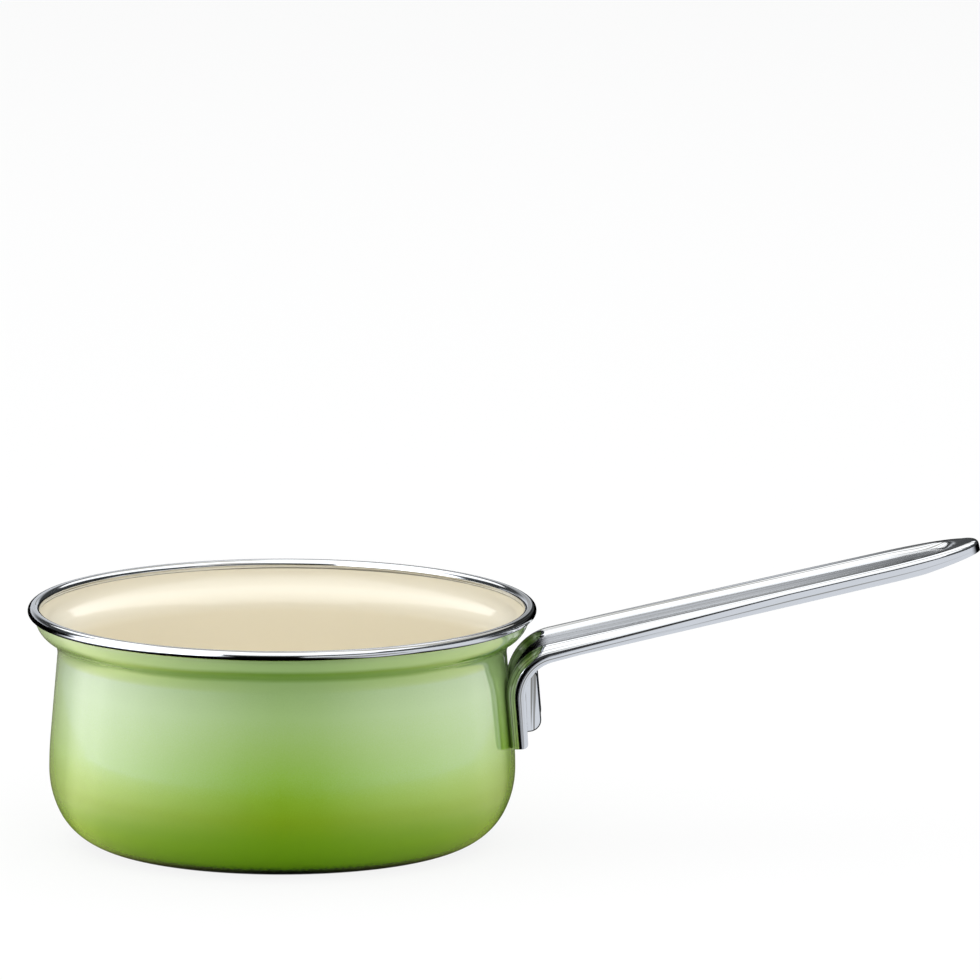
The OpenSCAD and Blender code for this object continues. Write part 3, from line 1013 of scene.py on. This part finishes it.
class SAUCEPAN_OT_rim_band(PieceOperator, Operator):
    """Make the polished band that is pressed over the rim"""

    bl_idname = "saucepan.rim_band"
    bl_label = "Rim band"

    def build(self, context):
        pan, wall = self.pan, PanWall(self.pan)
        side, big = (pan.band_w - pan.band_h) / 2, pan.band_h / 2 - pan.band_skin
        small = big - pan.band_t
        near, far, mid = wall.band_r - side, wall.band_r + side, wall.rim_z
        out_face = wall.lip_r + pan.band_fit
        in_face = wall.lip_r - wall.wall_t - pan.band_fit
        tuck = pi + acos(min((near - in_face) / big, 1.0))

        def arc(centre, radius, start, end, steps):
            turns = np.linspace(start, end, steps)
            return [(centre + radius * cos(t), mid + radius * sin(t)) for t in turns]

        outside = [(out_face, mid - big), *arc(far, big, -pi / 2, pi / 2, 40)]
        outside += arc(near, big, pi / 2, tuck, 30)
        inside = arc(near, small, pi, pi / 2, 16) + arc(far, small, pi / 2, -pi / 2, 20)
        section = [*outside, *inside, (out_face, mid - small), outside[0]]
        steel = polished_steel("polished_rim_steel", self.tones, round_lines, 40.0)
        made = turned("rim_ring", section, self.pan.steps_round, steel)
        join_in(made, ["rim_band"])


class SAUCEPAN_OT_handle(PieceOperator, Operator):
    """Make the pressed channel handle"""

    bl_idname = "saucepan.handle"
    bl_label = "Handle"

    def build(self, context):
        shape = HandleShape(self.pan, self.handle)
        made = new_object("handle_shell", shape.mesh("handle_shell"))
        smooth(made)
        steel = polished_steel("polished_handle_steel", self.tones, handle_lines, 30.0)
        paint(made, steel, shaded_cut_steel(self.tones))
        eased = made.modifiers.new("eased_edges", "BEVEL")
        # The eased edges take the cut steel, painted dark as the shade they mirror
        eased.width, eased.segments, eased.material = self.handle.edge_ease, 3, 1
        eased.limit_method, eased.angle_limit = "ANGLE", radians(60)
        settle(made)
        smooth(made, 50.0)
        join_in(made, ["handle"])


class SAUCEPAN_OT_bracket(PieceOperator, Operator):
    """Make the bracket inside the handle's bend"""

    bl_idname = "saucepan.bracket"
    bl_label = "Bracket"

    def build(self, context):
        shape, sizes = HandleShape(self.pan, self.handle), self.bracket
        outline = flange_outline(shape, sizes)
        half, sheet = sizes.bracket_w / 2, sizes.bracket_t
        made = prism("bracket_channel", outline, -half, sheet - half, shape)
        other = prism("bracket_flange", outline, half - sheet, half, shape)
        back = shape.web_w + sizes.bracket_fit
        low, high = sizes.bracket_start, shape.leg_len
        plate = [(back, low), (back + sheet, low), (back + sheet, high), (back, high)]
        web = prism("bracket_web", plate, -half, half, shape)
        for part in (other, web):
            join = made.modifiers.new(part.name, "BOOLEAN")
            join.operation, join.solver, join.object = "UNION", "EXACT", part
        settle(made)
        for part in (other, web):
            bpy.data.objects.remove(part, do_unlink=True)
        smooth(made, 30.0)
        steel = polished_steel("polished_bracket_steel", self.tones, upright_lines, 60.0)
        paint(made, steel, shaded_cut_steel(self.tones))
        eased = made.modifiers.new("rumbled_edges", "BEVEL")
        # The rumbled edges take the cut steel, painted dark as the shade they mirror
        eased.width, eased.segments, eased.material = sizes.edge_round, 4, 1
        eased.limit_method, eased.angle_limit = "ANGLE", radians(40)
        settle(made)
        smooth(made, 60.0)
        join_in(made, ["handle_bracket"])


class SAUCEPAN_OT_studs(PieceOperator, Operator):
    """Set the weld studs that hold handle and bracket to the wall"""

    bl_idname = "saucepan.studs"
    bl_label = "Studs"

    def build(self, context):
        shape, sizes = HandleShape(self.pan, self.handle), self.bracket
        seat = shape.web_w + sizes.bracket_fit + sizes.bracket_t
        start = shape.groove_h - self.handle.seat_fit - self.pan.coat_t
        head = sizes.head_d / 2
        dome = (head**2 + sizes.head_h**2) / (2 * sizes.head_h)
        spread = np.linspace(asin(head / dome), 0, 14)
        crown = [(dome * sin(t), seat + sizes.head_h - dome * (1 - cos(t))) for t in spread]
        section = [(0.0, start), (sizes.stud_d / 2, start), (sizes.stud_d / 2, seat)]
        section += [(head - 0.0001, seat), (head, seat + 0.0001)] + crown[1:]
        steel = stud_steel(self.tones)
        made = turned("mounting_stud_heads", section, 40, steel)
        made.data.transform(((0, 0, 1, 0), (0, 1, 0, 0), (-1, 0, 0, 0), (0, 0, 0, 1)))
        low, high = sizes.stud_low * shape.leg_len, sizes.stud_high * shape.leg_len
        gap = (high - low) / max(sizes.stud_count - 1, 1)
        values = {"Studs": sizes.stud_count, "First": low, "Spacing": gap, "Material": steel}
        give_nodes(made, row_tree(), **values)
        settle(made)
        spots = np.array([v.co for v in made.data.vertices])
        made.data.vertices.foreach_set("co", shape.place(spots).ravel())
        smooth(made)
        join_in(made, ["mounting_studs"])


# The studio


def floor_finish(tones):
    """A pale floor that keeps the pan's shadow and is white where nothing shades it."""
    f = Finish("studio_floor")
    grain = f.noise(60.0, 3.0)
    shade = f.blend(grain * 0.06, tones.floor, linear(226, 226, 226))
    matt = f.add("ShaderNodeBsdfDiffuse", None, {"Color": shade})["BSDF"]
    white = f.glow((1.0, 1.0, 1.0), 1.0)
    path = f.add("ShaderNodeLightPath")
    mirrored = path["Is Glossy Ray"].most(path["Is Transmission Ray"])
    seen = (path["Is Camera Ray"] * 0.88).most(mirrored * 0.3)
    lit = f.add("ShaderNodeMixShader", None, {0: seen, 1: matt, 2: white})[0]
    clear = f.add("ShaderNodeBsdfTransparent")[0]
    below = f.add("ShaderNodeNewGeometry")["Backfacing"]
    both = f.add("ShaderNodeMixShader", None, {0: below, 1: lit, 2: clear})[0]
    return f.end(both)


def paper_finish(strength, belly_r):
    """Paper lit from the sides: brightest left and right, dim in front and behind.

    The light goes by the way in which the wall mirrors a place, so a place near the wall counts
    as further round than it lies.
    """
    f = Finish("lit_paper")
    x, y, z = f.axes()
    out = (x * x + y * y) ** 0.5
    turn = f.add("ShaderNodeMath", {"operation": "ARCTAN2"}, {0: x * -1.0, 1: y * -1.0})[0]
    turn = turn + ((turn * 0.5).of("SINE") * belly_r / out).of("ARCSINE")
    round_it = [((degree + 180.0) / 360.0, (part, part, part)) for degree, part in DISH_ROUND]
    out_it = [(radius / DISH_FAR, tint) for radius, tint in DISH_OUT]
    side = f.add("ShaderNodeValToRGB", {"stops": round_it}, {0: turn / (2 * pi) + 0.5})["Color"]
    rise = f.add("ShaderNodeValToRGB", {"stops": out_it}, {0: out / DISH_FAR})["Color"]
    return f.end(f.glow(f.blend(1.0, side, rise, "MULTIPLY"), strength))


def studio_walls(wall, sky):
    """The room's light: dim walls and a paler ceiling."""
    world = bpy.data.worlds.new("studio_walls")
    world.use_nodes = True
    n = Nodes(world.node_tree)
    world.node_tree.nodes.clear()
    way = n.add("ShaderNodeSeparateXYZ", None, {0: n.add("ShaderNodeNewGeometry")["Position"]})
    glow = wall + way["Z"].between(0.42, 0.62) * (sky - wall)
    tint = (0.92, 0.98, 1.0)
    back = n.add("ShaderNodeBackground", None, {"Color": tint, "Strength": glow})[0]
    n.add("ShaderNodeOutputWorld", None, {"Surface": back})
    bpy.context.scene.world = world


def soft_box(name, place, aim, wide, high, radiance):
    """A lamp of even radiance over its face."""
    lamp = bpy.data.lights.new(name, "AREA")
    lamp.shape = "RECTANGLE"
    lamp.size, lamp.size_y = wide, high
    lamp.energy = radiance * pi * wide * high
    made = new_object(name, lamp)
    made.location = place
    way = Vector(aim) - Vector(place)
    made.rotation_euler = way.to_track_quat("-Z", "Y").to_euler()
    made.visible_camera = False
    return made


def mirrored_only(made, receivers):
    """The object shows in the named pieces alone, and only where they are polished."""
    made.visible_camera = made.visible_diffuse = made.visible_shadow = False
    seen_in = bpy.data.collections.new(made.name + "_seen_in")
    for receiver in receivers:
        seen_in.objects.link(bpy.data.objects[receiver])
    made.light_linking.receiver_collection = seen_in


def dish(name, far, low):
    """A flat ring round the pan with a low wall at its outside."""
    steps = 180
    rings = [(DISH_NEAR, low), (far, low), (far, DISH_HIGH)]
    turns = [2 * pi * i / steps for i in range(steps)]
    points = [(r * cos(t), r * sin(t), z) for r, z in rings for t in turns]
    faces = []
    for row in (0, steps):
        for i in range(steps):
            j = (i + 1) % steps
            faces.append((row + i, row + steps + i, row + steps + j, row + j))
    return new_object(name, mesh_of(name, points, faces))


def lit_card(made, strength, shading):
    """Light for the steel alone, which rays pass. Shading gives it from X, Y and Z."""
    f = Finish(made.name)
    shade = f.blend(shading(*f.axes()), (0.0, 0.0, 0.0), (0.92, 0.95, 1.0))
    clear = f.add("ShaderNodeBsdfTransparent")[0]
    shine = f.glow(shade, strength)
    paint(made, f.end(f.add("ShaderNodeAddShader", None, {0: shine, 1: clear})[0]))
    mirrored_only(made, STEEL_PIECES)


def flat(name, corners):
    return new_object(name, mesh_of(name, corners, [(0, 1, 2, 3)]))


def side_card(name, x, high, strength):
    """An upright card beside the pan, facing it."""
    corners = [(x, -1.0, 0.0), (x, 0.2, 0.0), (x, 0.2, high), (x, -1.0, high)]
    lit_card(flat(name, corners), strength, lambda x, y, z: y.between(0.16, 0.06))


def floor_shading(x, y, z):
    """Dark under the front of the rim, pale in front of the handle and out to the sides."""
    front = x.between(0.050, 0.080) * y.between(-0.06, -0.10) * 0.30
    right = x.between(0.10, 0.16) * y.between(0.10, 0.0) * 0.30
    left = x.between(-0.13, -0.26) * y.between(0.10, 0.0)
    return front.most(right).most(left)


def back_shading(x, y, z):
    """Pale in the middle, and dark towards the top and behind the handle."""
    return z.between(0.46, 0.20) * x.between(0.17, 0.07)


def cards(floor, left, right, back):
    """The cards for the steel: a floor, one at each side and a grey one behind."""
    lit_card(dish("steel_dish", DISH_FAR - CARD_INSET, CARD_FLOOR), floor, floor_shading)
    side_card("left_card", -0.5, 0.6, left)
    side_card("right_card", 0.6, 0.12, right)
    corners = [(-1.2, 1.0, 0.01), (0.2, 1.0, 0.01), (0.2, 1.0, 0.48), (-1.2, 1.0, 0.48)]
    lit_card(flat("back_card", corners), back, back_shading)


class SAUCEPAN_OT_stage(PieceOperator, Operator):
    """Set the floor, the lamps and the camera"""

    bl_idname = "saucepan.stage"
    bl_label = "Stage"

    def build(self, context):
        studio = self.studio
        reach = 8.0
        corners = [(-reach, -reach, 0), (reach, -reach, 0), (reach, reach, 0), (-reach, reach, 0)]
        floor = flat("studio_floor", corners)
        paint(floor, floor_finish(self.tones))
        studio_walls(studio.wall, studio.sky)
        paper = dish("paper_dish", DISH_FAR, DISH_FLOOR)
        paint(paper, paper_finish(studio.paper, PanWall(self.pan).belly_r))
        mirrored_only(paper, COAT_PIECES)
        cards(studio.floor_card, studio.left_card, studio.right_card, studio.back_card)
        near, under = (0.0, 0.0, 0.06), (0.05, 0.5, 0.0)
        for name, place, aim, wide, high, light, hidden_from in (
            ("left_box", (-0.9, -0.25, 0.17), near, 0.8, 0.3, studio.left, "glossy"),
            ("right_box", (1.0, -0.25, 0.17), near, 0.8, 0.3, studio.right, "glossy"),
            ("fill_box", (0.05, -1.0, 0.17), near, 1.6, 0.3, studio.fill, "glossy"),
            ("high_box", (0.05, -0.9, 0.80), near, 1.6, 0.5, studio.high, "glossy"),
            ("top_box", (0.05, 0.5, 1.0), under, 2.0, 2.4, studio.top, "glossy"),
            ("top_paper", (0.05, 0.5, 1.01), under, 2.0, 2.4, studio.shine, "diffuse"),
            ("front_strip", (0.05, -0.87, 0.86), (0.05, 0, 0), 1.8, 0.5, studio.front, "diffuse"),
        ):
            lamp = soft_box(name, place, aim, wide, high, light)
            setattr(lamp, "visible_" + hidden_from, False)
        aim = Vector((studio.view_x, 0.0, studio.view_z))
        away = Vector((0.0, -cos(studio.view_rise), sin(studio.view_rise)))
        lens = bpy.data.cameras.new("studio_camera")
        lens.sensor_width = 36.0
        lens.lens = lens.sensor_width * studio.view_distance / studio.view_width
        lens.clip_end = 60.0
        camera = new_object("studio_camera", lens)
        camera.location = aim + away * studio.view_distance
        camera.rotation_euler = (-away).to_track_quat("-Z", "Y").to_euler()
        context.scene.camera = camera
        context.scene.view_settings.view_transform = "Standard"


STEPS = (
    SAUCEPAN_OT_steel_body,
    SAUCEPAN_OT_outer_enamel,
    SAUCEPAN_OT_inner_enamel,
    SAUCEPAN_OT_base_enamel,
    SAUCEPAN_OT_rim_band,
    SAUCEPAN_OT_handle,
    SAUCEPAN_OT_bracket,
    SAUCEPAN_OT_studs,
    SAUCEPAN_OT_stage,
)


class SAUCEPAN_PT_panel(Panel):
    """Lists the saucepan's pieces and their sizes"""

    bl_idname = "SAUCEPAN_PT_panel"
    bl_label = "Saucepan"
    bl_space_type = "VIEW_3D"
    bl_region_type = "UI"
    bl_category = "Saucepan"

    def draw(self, context):
        for step in STEPS:
            self.layout.operator(step.bl_idname)
        for holder in GROUPS.values():
            box = self.layout.box()
            values = getattr(context.scene, holder)
            for name in values.bl_rna.properties.keys():
                if name not in ("rna_type", "name"):
                    box.prop(values, name)


GROUPS = {
    PanSizes: "saucepan_pan",
    HandleSizes: "saucepan_handle",
    BracketSizes: "saucepan_bracket",
    FinishTones: "saucepan_tones",
    StudioSettings: "saucepan_studio",
}


def register():
    for group, name in GROUPS.items():
        bpy.utils.register_class(group)
        setattr(bpy.types.Scene, name, PointerProperty(type=group))
    for step in (*STEPS, SAUCEPAN_PT_panel):
        bpy.utils.register_class(step)


def unregister():
    for step in (SAUCEPAN_PT_panel, *reversed(STEPS)):
        bpy.utils.unregister_class(step)
    for group, name in reversed(GROUPS.items()):
        delattr(bpy.types.Scene, name)
        bpy.utils.unregister_class(group)


def main():
    register()
    for step in STEPS:
        kind, name = step.bl_idname.split(".")
        getattr(getattr(bpy.ops, kind), name)()


if __name__ == "__main__":
    main()
